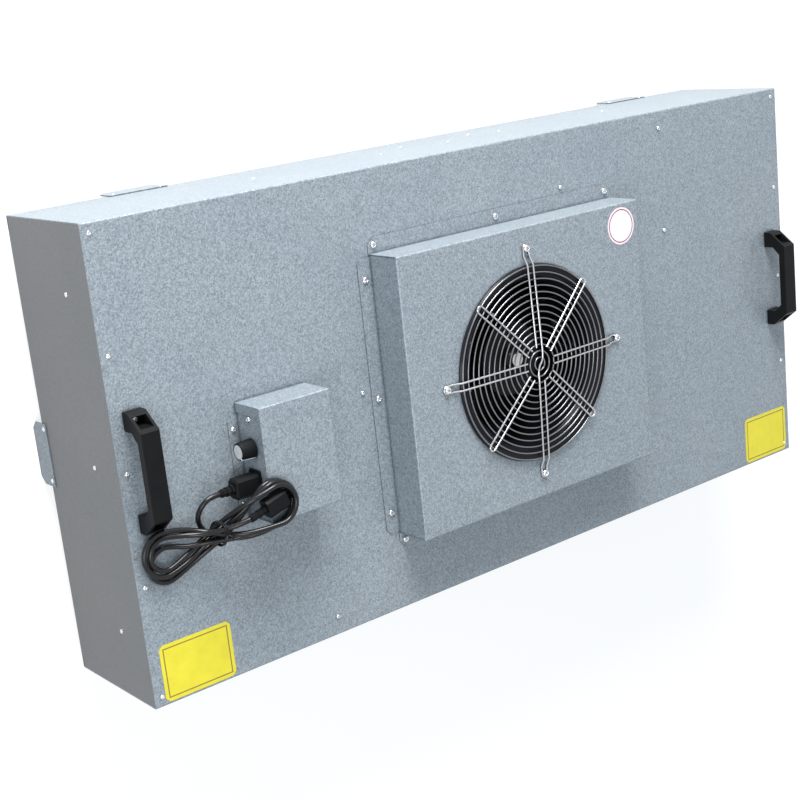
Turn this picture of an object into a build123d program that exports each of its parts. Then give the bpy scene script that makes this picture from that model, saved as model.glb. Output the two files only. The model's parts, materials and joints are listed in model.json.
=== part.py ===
"""Ceiling fan filter unit: a folded zinc-coated case with a raised inlet hood, a motorised
impeller behind a wire finger guard, a speed control box with its mains lead, and a HEPA filter.

Frame: +X along the case, +Y across it, +Z out of the air inlet. The unit lies on the tips of its
rim lugs at Z = 0, with the origin in the middle of the case. All sizes are in millimetres.
"""

import os
from math import cos, pi, radians, sin, sqrt, tan

from build123d import *

# ---------------------------------------------------------------- case
case_length = 1175.0
case_width = 575.0
case_depth = 184.0
case_sheet = 1.2
case_bend = 2.4
rim_return = 18.0
end_flange = 20.0
sheet_gap = 0.3
air_hole_radius = 166.0

# ---------------------------------------------------------------- rim lugs
lug_drop = 24.0
lug_overlap = 11.0
lug_length = 80.0
lug_sheet = 1.5
lug_corner = 9.0
lug_screw_pitch = 66.0
lug_screw_rise = 5.0
long_side_lugs = {"left": -416.0, "right": 448.0}
end_lug_y = -5.5

# ---------------------------------------------------------------- inlet hood
hood_x = 3.5
hood_y = -1.5
hood_length = 422.0
hood_width = 367.0
hood_height = 54.0
hood_sheet = 1.2
hood_bend = 2.2
hood_seam = 0.6
hood_flange = 20.5
hood_flange_chamfer = 9.0
hood_flange_corner = 7.0
hood_flange_setback = 3.0
hood_screw_pitch_x = 203.3
hood_screw_pitch_y = 152.5

# ---------------------------------------------------------------- fan and inlet ring
fan_x = 3.0
fan_y = 0.5
ring_radius = 131.2
ring_lip = 3.6
ring_edge = 1.6
ring_seat = 8.2
throat_radius = 108.0
bell_radius = 20.0
bell_steps = 4
bell_back_turn = 50.0
ring_depth = 34.0
ring_wall = 2.0
eye_gap = 2.0
eye_overlap = 4.0
impeller_radius = 140.0
impeller_sheet = 1.5
shroud_flare = 21.0
eye_collar = 6.0
blade_count = 7
blade_inner_radius = 88.0
blade_sweep = 44.0
blade_mid_sweep = 15.8
blade_height = 54.0
blade_sheet = 2.0

# ---------------------------------------------------------------- motor
rotor_radius = 50.0
rotor_wall = 2.5
rotor_flange = 10.0
rotor_flange_sheet = 2.0
rotor_height = 64.0
rotor_boss_radius = 15.0
rotor_boss_height = 8.0
hub_cap_radius = 12.0
hub_cap_height = 6.0
hub_cap_sides = 24
hub_cap_taper = 25.0
hub_screw_count = 6
air_gap = 0.5
stator_base_height = 7.0
stator_clearance = 3.0
bearing_radius = 11.0
bearing_width = 7.0
bearing_fit = 0.02
bearing_sides = 24
shaft_radius = 4.0
shaft_fit = 0.05
shaft_bore_radius = 8.0
shaft_tail = 3.0
motor_gap = 3.8

# ---------------------------------------------------------------- fan tray and posts
post_offset_x = 148.0
post_offset_y = 132.0
post_radius = 6.0
tray_margin = 16.0
tray_sheet = 1.5
tray_fold = 12.0
post_sides = 6
post_screw_radius = 5.0
post_screw_height = 3.0

# ---------------------------------------------------------------- wire finger guard
guard_ring_count = 15
guard_ring_step = 8.6
inner_ring_sides = 8
ring_wire = 2.2
arm_wire = 2.6
guard_lift = 0.3
guard_dome = 5.0
guard_weld = 0.2
arm_pitch = 9.8
arm_start_radius = 23.0
arm_knee_radius = 132.0
arm_foot_radius = 143.0
short_arm_end_radius = 135.0
arm_loop_sides = 12
guard_screw_radius = 153.0
guard_head_radius = 5.0
guard_head_height = 3.4
guard_head_taper = 15.0

# ---------------------------------------------------------------- filter
filter_clearance = 1.3
filter_depth = 69.0
filter_border = 15.0
filter_wall = 1.6
gasket_thickness = 5.0
gasket_width = 12.0
pleat_pitch = 28.0
pleat_depth = 56.0
pleat_sheet = 1.2
pack_clearance = 0.3
rail_leg = 16.0
rail_height = 58.0
rail_sheet = 1.2

# ---------------------------------------------------------------- control box
box_inset = 160.5
box_y = -23.8
box_length = 100.0
box_width = 141.0
box_height = 52.0
box_sheet = 1.0
box_bend = 1.6
box_top_lip = 11.0
box_front_lip = 4.0
box_flange = 13.0
foot_screw_back = 31.0
foot_screw_front = 16.0
panel_screw_back = 17.0
panel_margin = 0.4
control_rise = 26.0

# ---------------------------------------------------------------- speed control
knob_offset = 18.8
knob_sides = 18
knob_radius = 12.0
knob_top_radius = 10.8
knob_length = 19.0
knob_gap = 1.0
knob_hollow_sides = 12
knob_edge = 1.0
knob_cap_radius = 8.6
knob_cap_depth = 1.0
knob_cap_fit = 0.1
pointer_width = 1.4
pointer_proud = 0.4
pointer_angle = 55.0
knob_shaft_radius = 3.0
knob_shaft_fit = 0.05
knob_seat_fit = 0.02
knob_shaft_reach = 9.0
bushing_radius = 4.5
bushing_proud = 6.0
bushing_fit = 0.3
nut_radius = 7.0
nut_height = 2.2
regulator_length = 30.0
regulator_width = 34.0
regulator_height = 28.0

# ---------------------------------------------------------------- capacitor and terminals
capacitor_x = -364.0
capacitor_gap = 8.0
capacitor_length = 48.0
capacitor_width = 28.0
capacitor_height = 34.0
capacitor_ear = 14.0
capacitor_ear_sheet = 3.0
capacitor_edge = 2.0
terminal_x = -362.0
terminal_gap = 6.7
terminal_length = 20.0
terminal_width = 48.0
terminal_height = 17.0
terminal_ways = 4

# ---------------------------------------------------------------- power inlet and connector
inlet_offset = -23.2
inlet_flange_width = 31.0
inlet_flange_height = 24.0
inlet_flange_sheet = 2.0
inlet_body_width = 28.0
inlet_body_height = 20.0
inlet_body_depth = 24.0
inlet_recess_width = 25.0
inlet_recess_height = 17.0
inlet_recess_depth = 17.0
inlet_fit = 0.3
pin_length = 14.0
pin_width = 4.0
pin_thickness = 2.0
pin_places = ((0.0, 3.5), (-7.0, -2.5), (7.0, -2.5))
nose_fit = 0.4
nose_length = 15.0
connector_length = 32.0
connector_width = 25.0
connector_height = 20.0
connector_bevel = 3.5
connector_end_bevel = 2.0
relief_length = 18.0
relief_root_radius = 7.0
relief_tip_radius = 4.6
relief_ribs = 3
relief_rib_share = 0.6
relief_sides = 8

# ---------------------------------------------------------------- mains lead
cord_diameter = 6.5
cord_clearance = 0.5
lead_sides = 6
lead_fillet_share = 0.45
lead_route = (
    (-478.0, -47.0, 234.0),
    (-491.5, -47.0, 234.0),
    (-502.4, -54.9, 231.5),
    (-506.6, -67.8, 225.5),
    (-499.5, -82.0, 219.0),
)
hank_outline = (
    (-497, -82), (-530, -73), (-560, -75.5), (-577, -84), (-584, -98), (-582, -112), (-573, -127),
    (-557, -140.5), (-535, -139.5), (-510, -124), (-487, -105), (-450, -98), (-425, -91), (-408, -82),
    (-400, -68), (-403, -54), (-415, -45), (-440, -39), (-464, -51), (-480, -71.5),
)
left_eye = (-538.0, -101.0)
left_eye_size = (28.0, 15.0)
left_eye_turn = 20.0
right_eye = (-439.5, -67.4)
right_eye_size = (58.0, 25.0)
hank_left = -595.0
hank_right = -391.0
hank_waist_x = -489.0
hank_ramp_foot_x = -515.0
hank_ramp_head_x = -436.0
hank_layers = 2.0
tie_width = 3.0
tie_wire = 0.9
tie_tail = 12.0
tie_slack = 1.2
waist_front_y = -109.5
waist_back_y = -76.0

# ---------------------------------------------------------------- mains plug
plug_x = -441.0
plug_y = -69.5
plug_angle = 15.0
plug_length = 30.0
plug_width = 22.0
plug_height = 17.0
plug_edge = 3.0
plug_relief_radius = 5.5
plug_relief_length = 22.0
plug_blade_length = 9.0
plug_blade_width = 5.0
plug_blade_thickness = 1.8
plug_blade_pitch = 11.0

# ---------------------------------------------------------------- handles
handle_inset = 27.5
handle_width = 24.0
handle_length = 144.0
handle_height = 38.0
handle_foot = 22.0
handle_end_height = 12.0
handle_grip_length = 104.0
handle_bar = 11.0
handle_inner_slope = 11.0
handle_wall = 3.5
handle_pocket_length = 12.0
handle_pocket_floor = 5.0
handle_edge = 1.0
handle_screw_radius = 4.0
handle_screw_height = 2.6

# ---------------------------------------------------------------- fasteners and labels
head_sides = 6
pan_head_radius = 4.5
box_head_radius = 3.6
pan_head_height = 2.6
head_taper = 12.0
rivet_radius = 3.0
rivet_height = 1.2
end_rivet_count = 5
end_rivet_inset = 10.5
corner_rivet_inset = 12.5
wall_rivet_rise = 125.0
wall_rivet_inset = 83.5
side_rivets = (
    (-298.0, 86.0),
    (-97.0, 86.0),
    (-39.0, 54.0),
    (14.0, 90.0),
    (80.0, 56.0),
    (116.0, 80.0),
    (327.0, 74.0),
)
inner_plate_screws = ((-241.0, 12.0), (125.0, 211.0), (325.0, 116.0))
edge_screw_inset = 24.5
front_edge_screw_x = -319.0
back_edge_screw_x = 325.0
label_sheet = 0.3
label_width = 98.0
label_height = 71.0
label_corner = 5.0
label_left_inset = 63.5
label_right_inset = 56.5
label_front_inset = 39.0
round_label_x = 181.0
round_label_y = 151.0
round_label_radius = 25.5
round_label_sides = 48

# ---------------------------------------------------------------- levels worked out from the sizes
rim_z = lug_drop
plate_top = rim_z + case_depth
plate_under = plate_top - case_sheet
hood_top = plate_top + hood_height
half_length = case_length / 2
half_width = case_width / 2
handle_x = half_length - handle_inset
end_rivet_x = half_length - end_rivet_inset
corner_rivet_y = half_width - corner_rivet_inset
knob_y = box_y + knob_offset
inlet_y = box_y + inlet_offset
fan_axis = Axis((fan_x, fan_y, 0), (0, 0, 1))
fan_section = Plane(origin=(fan_x, fan_y, 0), x_dir=(1, 0, 0), z_dir=(0, -1, 0))

os.makedirs("parts", exist_ok=True)


def head_outline(radius):
    """Outline of a small rivet or screw head, drawn with few sides."""
    RegularPolygon(radius, head_sides)


def save(piece, name):
    """Label a finished piece and write its STEP file."""
    piece.part.label = name
    export_step(piece.part, f"parts/{name}.step")


# ================================================================ case
# One folded sheet: the inlet-side plate, both long sides and their returns along the rim.
with BuildPart() as case_wrap:
    with BuildSketch(Plane.YZ):
        with Locations((0, rim_z + case_depth / 2)):
            RectangleRounded(case_width, case_depth, case_bend)
            RectangleRounded(
                case_width - 2 * case_sheet,
                case_depth - 2 * case_sheet,
                case_bend - case_sheet,
                mode=Mode.SUBTRACT,
            )
        with Locations((0, rim_z)):
            Rectangle(case_width - 2 * rim_return, 4 * case_sheet, mode=Mode.SUBTRACT)
    extrude(amount=half_length, both=True)
    with BuildSketch(Plane.XY.offset(plate_top)):
        with Locations((fan_x, fan_y)):
            Circle(air_hole_radius)
    extrude(amount=-2 * case_sheet, mode=Mode.SUBTRACT)
save(case_wrap, "case_wrap")


def build_end_panel(side):
    """End panel: a pan with flanges that tuck under the folded case sheet."""
    wall = side * half_length
    pan_width = case_width - 2 * case_sheet
    pan_height = case_depth - case_sheet
    pan_middle = rim_z + pan_height / 2
    with BuildPart() as panel:
        with BuildSketch(Plane.YZ.offset(wall)):
            with Locations((0, pan_middle)):
                RectangleRounded(pan_width, pan_height, case_bend - case_sheet)
        extrude(amount=-side * end_flange)
        with BuildSketch(Plane.YZ.offset(wall - side * case_sheet)):
            with Locations((0, pan_middle)):
                Rectangle(pan_width - 2 * case_sheet, pan_height - 2 * case_sheet)
        extrude(amount=-side * end_flange, mode=Mode.SUBTRACT)
        # Corner notches let the returns of the long sides run through.
        with BuildSketch(Plane.YZ.offset(wall)):
            with Locations((-half_width, rim_z), (half_width, rim_z)):
                Rectangle(2 * (rim_return + sheet_gap), 2 * (case_bend + sheet_gap))
        extrude(amount=-side * end_flange, mode=Mode.SUBTRACT)
    return panel


save(build_end_panel(-1), "end_panel_left")
save(build_end_panel(1), "end_panel_right")


# ================================================================ rim lugs
def lug_outline():
    """Lug outline in its wall's plane: local Y is up, its root edge overlaps the case."""
    height = lug_drop + lug_overlap
    with Locations((0, height / 2)):
        outline = Rectangle(lug_length, height)
    chamfer(outline.vertices().group_by(Axis.Y)[0], lug_corner)


def build_long_side_lug(x, side):
    """Lug on a long side; side is +1 for +Y and -1 for -Y."""
    lug_plane = Plane(origin=(x, side * half_width, 0), x_dir=(-side, 0, 0), z_dir=(0, side, 0))
    with BuildPart() as lug:
        with BuildSketch(lug_plane):
            lug_outline()
        extrude(amount=lug_sheet)
    return lug


def build_end_lug(side):
    """Lug on an end panel; side is +1 for +X and -1 for -X."""
    lug_plane = Plane(origin=(side * half_length, end_lug_y, 0), x_dir=(0, side, 0), z_dir=(side, 0, 0))
    with BuildPart() as lug:
        with BuildSketch(lug_plane):
            lug_outline()
        extrude(amount=lug_sheet)
    return lug


for place, lug_x in long_side_lugs.items():
    save(build_long_side_lug(lug_x, 1), f"lug_back_{place}")
    save(build_long_side_lug(lug_x, -1), f"lug_front_{place}")
save(build_end_lug(-1), "lug_left")
save(build_end_lug(1), "lug_right")

lug_screw_z = rim_z + lug_screw_rise
with BuildPart() as lug_screws:
    for side in (-1, 1):
        for lug_x in long_side_lugs.values():
            side_face = Plane(
                origin=(lug_x, side * (half_width + lug_sheet), lug_screw_z),
                x_dir=(1, 0, 0),
                z_dir=(0, side, 0),
            )
            with BuildSketch(side_face):
                with GridLocations(lug_screw_pitch, 0, 2, 1):
                    head_outline(rivet_radius)
            extrude(amount=rivet_height)
        end_face = Plane(
            origin=(side * (half_length + lug_sheet), end_lug_y, lug_screw_z),
            x_dir=(0, 1, 0),
            z_dir=(side, 0, 0),
        )
        with BuildSketch(end_face):
            with GridLocations(lug_screw_pitch, 0, 2, 1):
                head_outline(rivet_radius)
        extrude(amount=rivet_height)
save(lug_screws, "lug_screws")


# ================================================================ inlet hood
def hood_flange_sketch():
    """Four screw flanges round the hood's foot, in plan."""
    flange_x = hood_length / 2 + hood_flange / 2
    flange_y = hood_width / 2 + hood_flange / 2
    lap = hood_sheet
    for side in (-1, 1):
        with Locations((hood_x, hood_y + side * (flange_y - lap / 2))):
            long_flange = Rectangle(hood_length + 2 * hood_sheet, hood_flange + lap)
        outer = long_flange.vertices().sort_by(Axis.Y)
        chamfer(outer[-2:] if side > 0 else outer[:2], hood_flange_chamfer)
        with Locations((hood_x + side * (flange_x - lap / 2), hood_y)):
            end = Rectangle(hood_flange + lap, hood_width - 2 * hood_flange_setback)
        outer = end.vertices().sort_by(Axis.X)
        chamfer(outer[-2:] if side > 0 else outer[:2], hood_flange_corner)


with BuildPart() as hood:
    with BuildSketch(Plane.XY.offset(plate_top)):
        with Locations((hood_x, hood_y)):
            Rectangle(hood_length, hood_width)
    extrude(amount=hood_height)
    fillet(hood.edges().group_by(Axis.Z)[-1], hood_bend)
    offset(amount=-hood_sheet, openings=hood.faces().sort_by(Axis.Z)[0])
    with BuildSketch(Plane.XY.offset(plate_top)):
        hood_flange_sketch()
        with Locations((hood_x, hood_y)):
            Rectangle(hood_length - hood_sheet, hood_width - hood_sheet, mode=Mode.SUBTRACT)
    extrude(amount=hood_sheet)
    with BuildSketch(Plane.XY.offset(hood_top)):
        with Locations((fan_x, fan_y)):
            Circle(ring_radius - ring_seat)
    extrude(amount=-2 * hood_sheet, mode=Mode.SUBTRACT)
    # Open seams where the end sides were folded beside the long sides.
    seam_x = hood_length / 2
    seam_y = hood_width / 2 - hood_sheet - hood_seam / 2
    with BuildSketch(Plane.XY.offset(plate_top)):
        with Locations((hood_x, hood_y)):
            with GridLocations(2 * seam_x, 2 * seam_y, 2, 2):
                Rectangle(3 * hood_sheet, hood_seam)
    extrude(amount=hood_height - hood_bend, mode=Mode.SUBTRACT)
save(hood, "hood")

hood_screw_x = hood_length / 2 + hood_flange / 2
hood_screw_y = hood_width / 2 + hood_flange / 2
with BuildPart() as hood_screws:
    with BuildSketch(Plane.XY.offset(plate_top + hood_sheet)):
        with Locations((hood_x, hood_y)):
            with GridLocations(hood_screw_pitch_x, 2 * hood_screw_y, 3, 2):
                head_outline(pan_head_radius)
            with GridLocations(2 * hood_screw_x, hood_screw_pitch_y, 2, 3):
                head_outline(pan_head_radius)
    extrude(amount=pan_head_height, taper=head_taper)
save(hood_screws, "hood_screws")


# ================================================================ inlet ring
ring_hole = ring_radius - ring_seat - sheet_gap
ring_bottom = hood_top - ring_depth
lip_top = hood_top + ring_lip
bell_foot = lip_top - bell_radius
bell_centre = (throat_radius + bell_radius, bell_foot)
back_radius = bell_radius - ring_wall


def bell_point(radius, turn):
    """Point on the bell's section, a turn in degrees up from its foot."""
    angle = radians(180 - turn)
    return (bell_centre[0] + radius * cos(angle), bell_foot + radius * sin(angle))


with BuildPart() as inlet_ring:
    with BuildSketch(fan_section):
        with BuildLine():
            Polyline(
                (ring_radius, hood_top),
                (ring_radius, lip_top - ring_edge),
                (ring_radius - ring_edge, lip_top),
                *[bell_point(bell_radius, 90 - 90 * step / bell_steps) for step in range(bell_steps + 1)],
                (throat_radius, ring_bottom),
                (throat_radius + ring_wall, ring_bottom),
                *[bell_point(back_radius, turn) for turn in (0, bell_back_turn)],
                (ring_hole, hood_top),
                close=True,
            )
        make_face()
    revolve(axis=fan_axis)
save(inlet_ring, "inlet_ring")


# ================================================================ wire finger guard
guard_base = lip_top + guard_lift
guard_outer_radius = guard_ring_count * guard_ring_step


def guard_level(radius):
    """Underside of the guard's rings at a radius: a shallow cone that rises to the middle."""
    return guard_base + guard_dome * (1 - radius / guard_outer_radius)


arm_lift = ring_wire - guard_weld


def arm_outline(points):
    """Side view of one arm wire: its underside through the points, one wire thick."""
    return [*points, *[(x, z + arm_wire) for x, z in reversed(points)]]


def arm_plane(offset_y):
    """Vertical plane along +X, beside the fan's axis."""
    return Plane(origin=(fan_x, fan_y + offset_y, 0), x_dir=(1, 0, 0), z_dir=(0, -1, 0))


arm_start = (arm_start_radius, guard_level(arm_start_radius) + arm_lift)
arm_knee = (arm_knee_radius, guard_level(arm_knee_radius) + arm_lift)
loop_width = arm_pitch + arm_wire

long_arm_underside = [
    arm_start,
    arm_knee,
    (arm_foot_radius, hood_top),
    (guard_screw_radius, hood_top),
]

# A long arm: two wires that run over the rings, bend down to the hood and loop round a screw.
with BuildPart() as long_arm:
    for side in (-1, 1):
        with BuildSketch(arm_plane(side * arm_pitch / 2)):
            with BuildLine():
                Polyline(*arm_outline(long_arm_underside), close=True)
            make_face()
        extrude(amount=arm_wire / 2, both=True)
    with BuildSketch(Plane(origin=(fan_x, fan_y, hood_top))):
        with Locations((guard_screw_radius, 0)):
            RegularPolygon(loop_width / 2, arm_loop_sides)
            RegularPolygon(loop_width / 2 - arm_wire, arm_loop_sides, mode=Mode.SUBTRACT)
        with Locations((guard_screw_radius - loop_width / 2, 0)):
            Rectangle(loop_width, loop_width, mode=Mode.SUBTRACT)
    extrude(amount=arm_wire)

# A short arm: the same pair of wires, joined by a loop just past the outer ring.
short_loop_x = short_arm_end_radius - loop_width / 2
short_loop_z = guard_level(short_loop_x) + arm_lift
with BuildPart() as short_arm:
    for side in (-1, 1):
        with BuildSketch(arm_plane(side * arm_pitch / 2)):
            with BuildLine():
                Polyline(*arm_outline([arm_start, (short_loop_x, short_loop_z)]), close=True)
            make_face()
        extrude(amount=arm_wire / 2, both=True)
    with BuildSketch(Plane(origin=(fan_x, fan_y, short_loop_z))):
        with Locations((short_loop_x, 0)):
            RegularPolygon(loop_width / 2, arm_loop_sides)
            RegularPolygon(loop_width / 2 - arm_wire, arm_loop_sides, mode=Mode.SUBTRACT)
        with Locations((short_loop_x - loop_width / 2, 0)):
            Rectangle(loop_width, loop_width, mode=Mode.SUBTRACT)
    extrude(amount=arm_wire)

# The rings, drawn with more sides the larger they are. Their flat tops carry the arms.
with BuildPart() as guard_rings:
    for index in range(1, guard_ring_count + 1):
        ring_middle = index * guard_ring_step
        ring_sides = inner_ring_sides + index
        with BuildSketch(Plane(origin=(fan_x, fan_y, guard_level(ring_middle)))):
            RegularPolygon(ring_middle + ring_wire / 2, ring_sides)
            RegularPolygon(ring_middle - ring_wire / 2, ring_sides, mode=Mode.SUBTRACT)
        extrude(amount=ring_wire)
save(guard_rings, "guard_rings")

with BuildPart() as guard_arms:
    # The wire that crosses the middle carries the inner rings.
    with BuildSketch(arm_plane(0)):
        with Locations((0, arm_start[1] + arm_wire / 2)):
            Rectangle(2 * arm_start_radius + 4 * arm_wire, arm_wire)
    extrude(amount=arm_wire / 2, both=True)
    for index in range(4):
        add(long_arm.part.rotate(fan_axis, 90 * index))
        add(short_arm.part.rotate(fan_axis, 90 * index + 45))
save(guard_arms, "guard_arms")

with BuildPart() as guard_screws:
    with BuildSketch(Plane(origin=(fan_x, fan_y, hood_top + arm_wire))):
        with PolarLocations(guard_screw_radius, 4):
            head_outline(guard_head_radius)
    extrude(amount=guard_head_height, taper=guard_head_taper)
save(guard_screws, "guard_screws")


# ================================================================ impeller
eye_radius = throat_radius + ring_wall + eye_gap
eye_top = ring_bottom + eye_overlap
collar_foot = eye_top - eye_collar
shroud_rim = collar_foot - shroud_flare
back_plate_top = shroud_rim - blade_height
back_plate_under = back_plate_top - impeller_sheet


def polar(radius, angle):
    """Point at a radius and an angle in degrees."""
    return (radius * cos(radians(angle)), radius * sin(radians(angle)))


blade_middle_radius = (blade_inner_radius + impeller_radius) / 2

# One backward-curved blade, trimmed to the space between the back plate and the shroud.
with BuildPart() as blade:
    with BuildSketch(Plane(origin=(fan_x, fan_y, back_plate_under))):
        with BuildLine(mode=Mode.PRIVATE) as blade_line:
            ThreePointArc(
                polar(blade_inner_radius, 0),
                polar(blade_middle_radius, -blade_mid_sweep),
                polar(impeller_radius, -blade_sweep),
            )
        trace(blade_line.line, line_width=blade_sheet)
    extrude(amount=eye_top - back_plate_under)
    with BuildSketch(fan_section):
        with BuildLine():
            Polyline(
                (eye_radius, collar_foot + impeller_sheet / 2),
                (impeller_radius, shroud_rim + impeller_sheet / 2),
                (impeller_radius, back_plate_under),
                (blade_inner_radius / 2, back_plate_under),
                (blade_inner_radius / 2, collar_foot),
                close=True,
            )
        make_face()
    revolve(axis=fan_axis, mode=Mode.INTERSECT)

with BuildPart() as impeller:
    for index in range(blade_count):
        add(blade.part.rotate(fan_axis, 360 / blade_count * index))
    # Back plate with the hole for the motor.
    with BuildSketch(Plane(origin=(fan_x, fan_y, back_plate_under))):
        Circle(impeller_radius)
        Circle(rotor_radius - rotor_wall, mode=Mode.SUBTRACT)
    extrude(amount=impeller_sheet)
    # Flared shroud with its eye collar.
    with BuildSketch(fan_section):
        with BuildLine():
            Polyline(
                (eye_radius, eye_top),
                (eye_radius, collar_foot),
                (impeller_radius, shroud_rim),
                (impeller_radius, shroud_rim + impeller_sheet),
                (eye_radius + impeller_sheet, collar_foot),
                (eye_radius + impeller_sheet, eye_top),
                close=True,
            )
        make_face()
    revolve(axis=fan_axis)
save(impeller, "impeller")


# ================================================================ motor
rotor_inner_radius = rotor_radius - rotor_wall
rotor_top = back_plate_top + rotor_height
boss_top = rotor_top + rotor_boss_height
tray_top = back_plate_under - motor_gap - stator_base_height
stator_top = rotor_top - rotor_wall - stator_clearance
with BuildPart() as rotor_cup:
    with BuildSketch(fan_section):
        with BuildLine():
            Polyline(
                (rotor_inner_radius, back_plate_top),
                (rotor_radius + rotor_flange, back_plate_top),
                (rotor_radius + rotor_flange, back_plate_top + rotor_flange_sheet),
                (rotor_radius, back_plate_top + rotor_flange_sheet),
                (rotor_radius, rotor_top),
                (rotor_boss_radius, rotor_top),
                (rotor_boss_radius, boss_top),
                (shaft_radius + bearing_fit, boss_top),
                (shaft_radius + bearing_fit, rotor_top - rotor_wall),
                (rotor_inner_radius, rotor_top - rotor_wall),
                close=True,
            )
        make_face()
    revolve(axis=fan_axis)
save(rotor_cup, "rotor_cup")

with BuildPart() as hub_cap:
    with BuildSketch(Plane(origin=(fan_x, fan_y, boss_top))):
        RegularPolygon(hub_cap_radius, hub_cap_sides)
    extrude(amount=hub_cap_height, taper=hub_cap_taper)
save(hub_cap, "hub_cap")

with BuildPart() as hub_screws:
    with BuildSketch(Plane(origin=(fan_x, fan_y, back_plate_top + rotor_flange_sheet))):
        with PolarLocations(rotor_radius + rotor_flange / 2, hub_screw_count):
            head_outline(rivet_radius)
    extrude(amount=pan_head_height)
save(hub_screws, "hub_screws")

with BuildPart() as stator:
    with BuildSketch(Plane(origin=(fan_x, fan_y, tray_top))):
        Circle(rotor_inner_radius - air_gap)
        Circle(shaft_bore_radius, mode=Mode.SUBTRACT)
    extrude(amount=stator_top - tray_top)
    for level in (tray_top, stator_top - bearing_width):
        with BuildSketch(Plane(origin=(fan_x, fan_y, level))):
            RegularPolygon(bearing_radius + bearing_fit, bearing_sides)
        extrude(amount=bearing_width, mode=Mode.SUBTRACT)
save(stator, "stator")

with BuildPart() as bearings:
    for level in (tray_top, stator_top - bearing_width):
        with BuildSketch(Plane(origin=(fan_x, fan_y, level))):
            RegularPolygon(bearing_radius, bearing_sides)
            Circle(shaft_radius + shaft_fit, mode=Mode.SUBTRACT)
        extrude(amount=bearing_width)
save(bearings, "bearings")

with BuildPart() as motor_shaft:
    with BuildSketch(Plane(origin=(fan_x, fan_y, tray_top + shaft_tail))):
        Circle(shaft_radius)
    extrude(amount=boss_top - tray_top - shaft_tail)
save(motor_shaft, "motor_shaft")

# ================================================================ fan tray and posts
tray_length = 2 * (post_offset_x + tray_margin)
tray_width = 2 * (post_offset_y + tray_margin)
with BuildPart() as fan_tray:
    with BuildSketch(Plane(origin=(fan_x, fan_y, tray_top))):
        Rectangle(tray_length, tray_width)
    extrude(amount=-tray_fold)
    offset(amount=-tray_sheet, openings=fan_tray.faces().sort_by(Axis.Z)[0])
save(fan_tray, "fan_tray")

with BuildPart() as fan_posts:
    with BuildSketch(Plane(origin=(fan_x, fan_y, tray_top))):
        with GridLocations(2 * post_offset_x, 2 * post_offset_y, 2, 2):
            RegularPolygon(post_radius, post_sides)
    extrude(amount=plate_under - tray_top)
save(fan_posts, "fan_posts")

with BuildPart() as post_screws:
    for level, direction in ((plate_top, 1), (tray_top - tray_sheet, -1)):
        with BuildSketch(Plane(origin=(fan_x, fan_y, level))):
            with GridLocations(2 * post_offset_x, 2 * post_offset_y, 2, 2):
                RegularPolygon(post_screw_radius, head_sides)
        extrude(amount=direction * post_screw_height)
save(post_screws, "post_screws")

# ================================================================ filter
filter_length = case_length - 2 * case_sheet - 2 * filter_clearance
filter_width = case_width - 2 * case_sheet - 2 * filter_clearance
gasket_under = rim_z + case_sheet
filter_under = gasket_under + gasket_thickness
filter_top = filter_under + filter_depth

with BuildPart() as filter_gasket:
    with BuildSketch(Plane.XY.offset(gasket_under)):
        Rectangle(filter_length, filter_width)
        Rectangle(filter_length - 2 * gasket_width, filter_width - 2 * gasket_width, mode=Mode.SUBTRACT)
    extrude(amount=gasket_thickness)
save(filter_gasket, "filter_gasket")


with BuildPart() as filter_frame:
    with BuildSketch(Plane.XY.offset(filter_under)):
        Rectangle(filter_length, filter_width)
        Rectangle(filter_length - 2 * filter_border, filter_width - 2 * filter_border, mode=Mode.SUBTRACT)
    extrude(amount=filter_depth)
    with BuildSketch(Plane.XY.offset(filter_under + filter_wall)):
        Rectangle(filter_length - 2 * filter_wall, filter_width - 2 * filter_wall)
    extrude(amount=filter_depth - 2 * filter_wall, mode=Mode.SUBTRACT)
save(filter_frame, "filter_frame")

# The pleated pack: one zigzag sheet of filter paper, potted into the frame's channel.
pack_length = filter_length - 2 * filter_wall - 2 * pack_clearance
pack_width = filter_width - 2 * filter_wall - 2 * pack_clearance
pack_middle = filter_under + filter_depth / 2
pleat_count = int(pack_length / pleat_pitch)
pleat_step = pack_length / pleat_count
pleat_rise = pleat_sheet * sqrt(1 + (2 * pleat_depth / pleat_step) ** 2)


def pleat_edge(foot):
    """Zigzag from one end of the pack to the other, standing on a level."""
    points = []
    for index in range(pleat_count):
        start = -pack_length / 2 + index * pleat_step
        points.append((start, foot))
        points.append((start + pleat_step / 2, foot + pleat_depth - pleat_rise))
    points.append((pack_length / 2, foot))
    return points


with BuildPart() as filter_pack:
    with BuildSketch(Plane.XZ):
        with BuildLine():
            lower = pleat_edge(pack_middle - pleat_depth / 2)
            upper = pleat_edge(pack_middle - pleat_depth / 2 + pleat_rise)
            Polyline(*lower, *reversed(upper), close=True)
        make_face()
    extrude(amount=pack_width / 2, both=True)
save(filter_pack, "filter_pack")


def build_rail(length, plane):
    """Angle rail that holds the filter down: one leg on the wall, one on the filter frame."""
    with BuildPart() as rail:
        with BuildSketch(plane):
            with BuildLine():
                Polyline(
                    (0, filter_top),
                    (rail_leg, filter_top),
                    (rail_leg, filter_top + rail_sheet),
                    (rail_sheet, filter_top + rail_sheet),
                    (rail_sheet, filter_top + rail_height),
                    (0, filter_top + rail_height),
                    close=True,
                )
            make_face()
        extrude(amount=length / 2, both=True)
    return rail


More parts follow.
